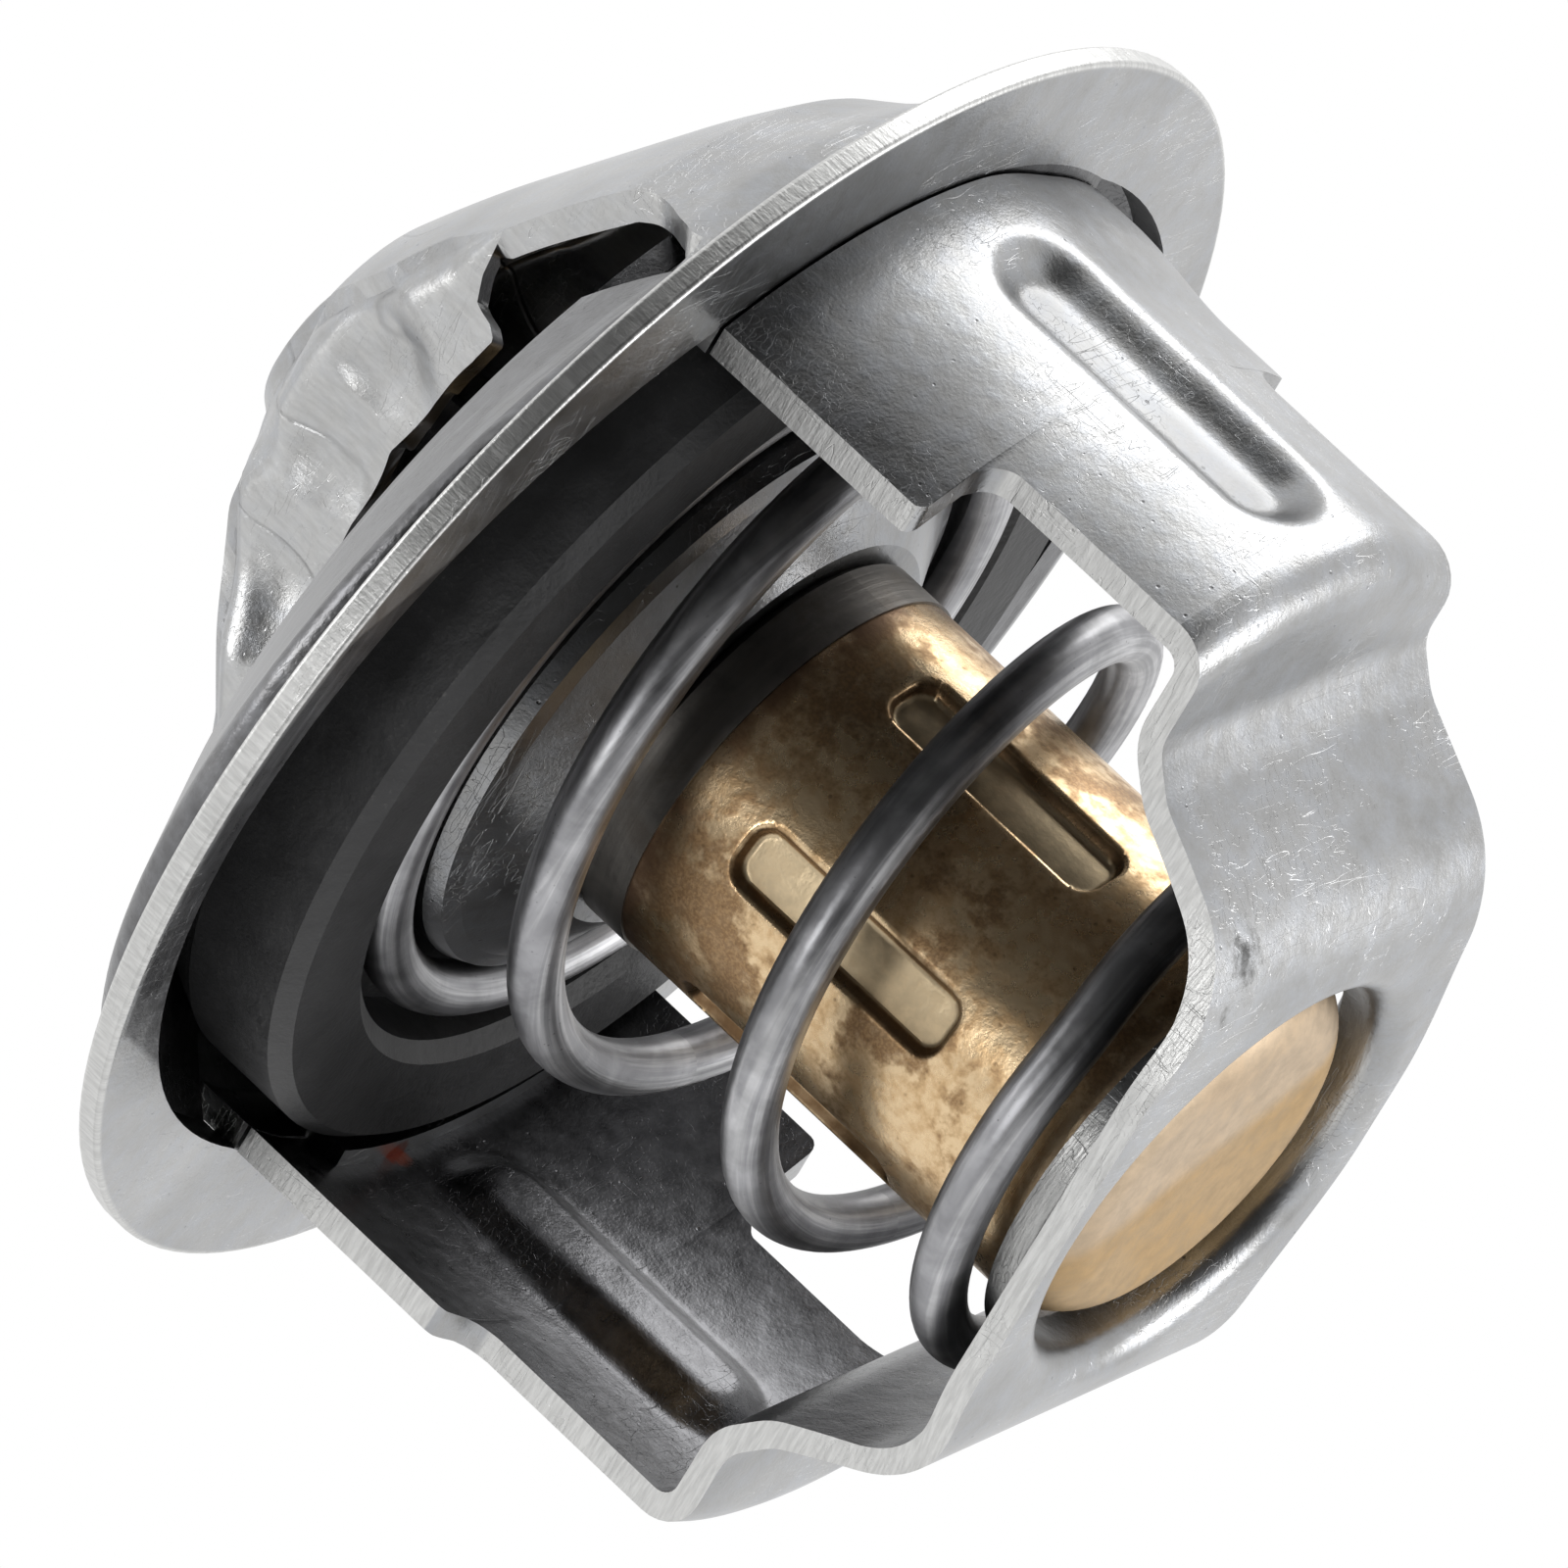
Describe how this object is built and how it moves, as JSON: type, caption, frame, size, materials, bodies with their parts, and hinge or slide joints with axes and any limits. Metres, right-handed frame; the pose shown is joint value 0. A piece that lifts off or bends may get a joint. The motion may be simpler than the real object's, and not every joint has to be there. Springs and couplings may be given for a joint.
{
  "type": "engine thermostat",
  "caption": "Flanged engine coolant valve: rim with raised seat, conical bridge, sprung rubber-edged valve on a brass wax capsule, and a legged lower frame with a ring round the capsule.",
  "frame": {"origin": "on the axis, at the under face of the rim", "axes": "+Z along the axis towards the bridge, the capsule points to -Z, the legs of the frame stand on the X axis"},
  "size_m": [0.054, 0.054, 0.0448],
  "materials": {
    "pressed_steel": "satin",
    "dark_steel": "dull",
    "ground_steel": "polished",
    "spring_steel": "polished",
    "brass": "tarnished satin",
    "black_rubber": "matt",
    "wax_mix": "matt"
  },
  "bodies": {
    "frame": {"flange_plate": "pressed_steel", "upper_bridge": "pressed_steel", "lower_frame": "pressed_steel", "piston": "ground_steel", "plug_washer": "ground_steel", "rubber_plug": "black_rubber", "main_spring": "spring_steel"},
    "valve": {"valve_plate": "pressed_steel", "valve_seal": "black_rubber", "spring_cup": "pressed_steel", "retaining_collar": "dark_steel", "piston_guide": "brass", "wax_cup": "brass", "rubber_diaphragm": "black_rubber", "wax_charge": "wax_mix"}
  },
  "joints": [
    {"name": "valve_lift", "type": "slide", "parent": "frame", "child": "valve", "axis": [0, 0, -1], "range_m": [0, 0.008], "stiffness_N_per_m": 5600, "springref_m": -0.008, "deforming": ["main_spring"]}
  ]
}
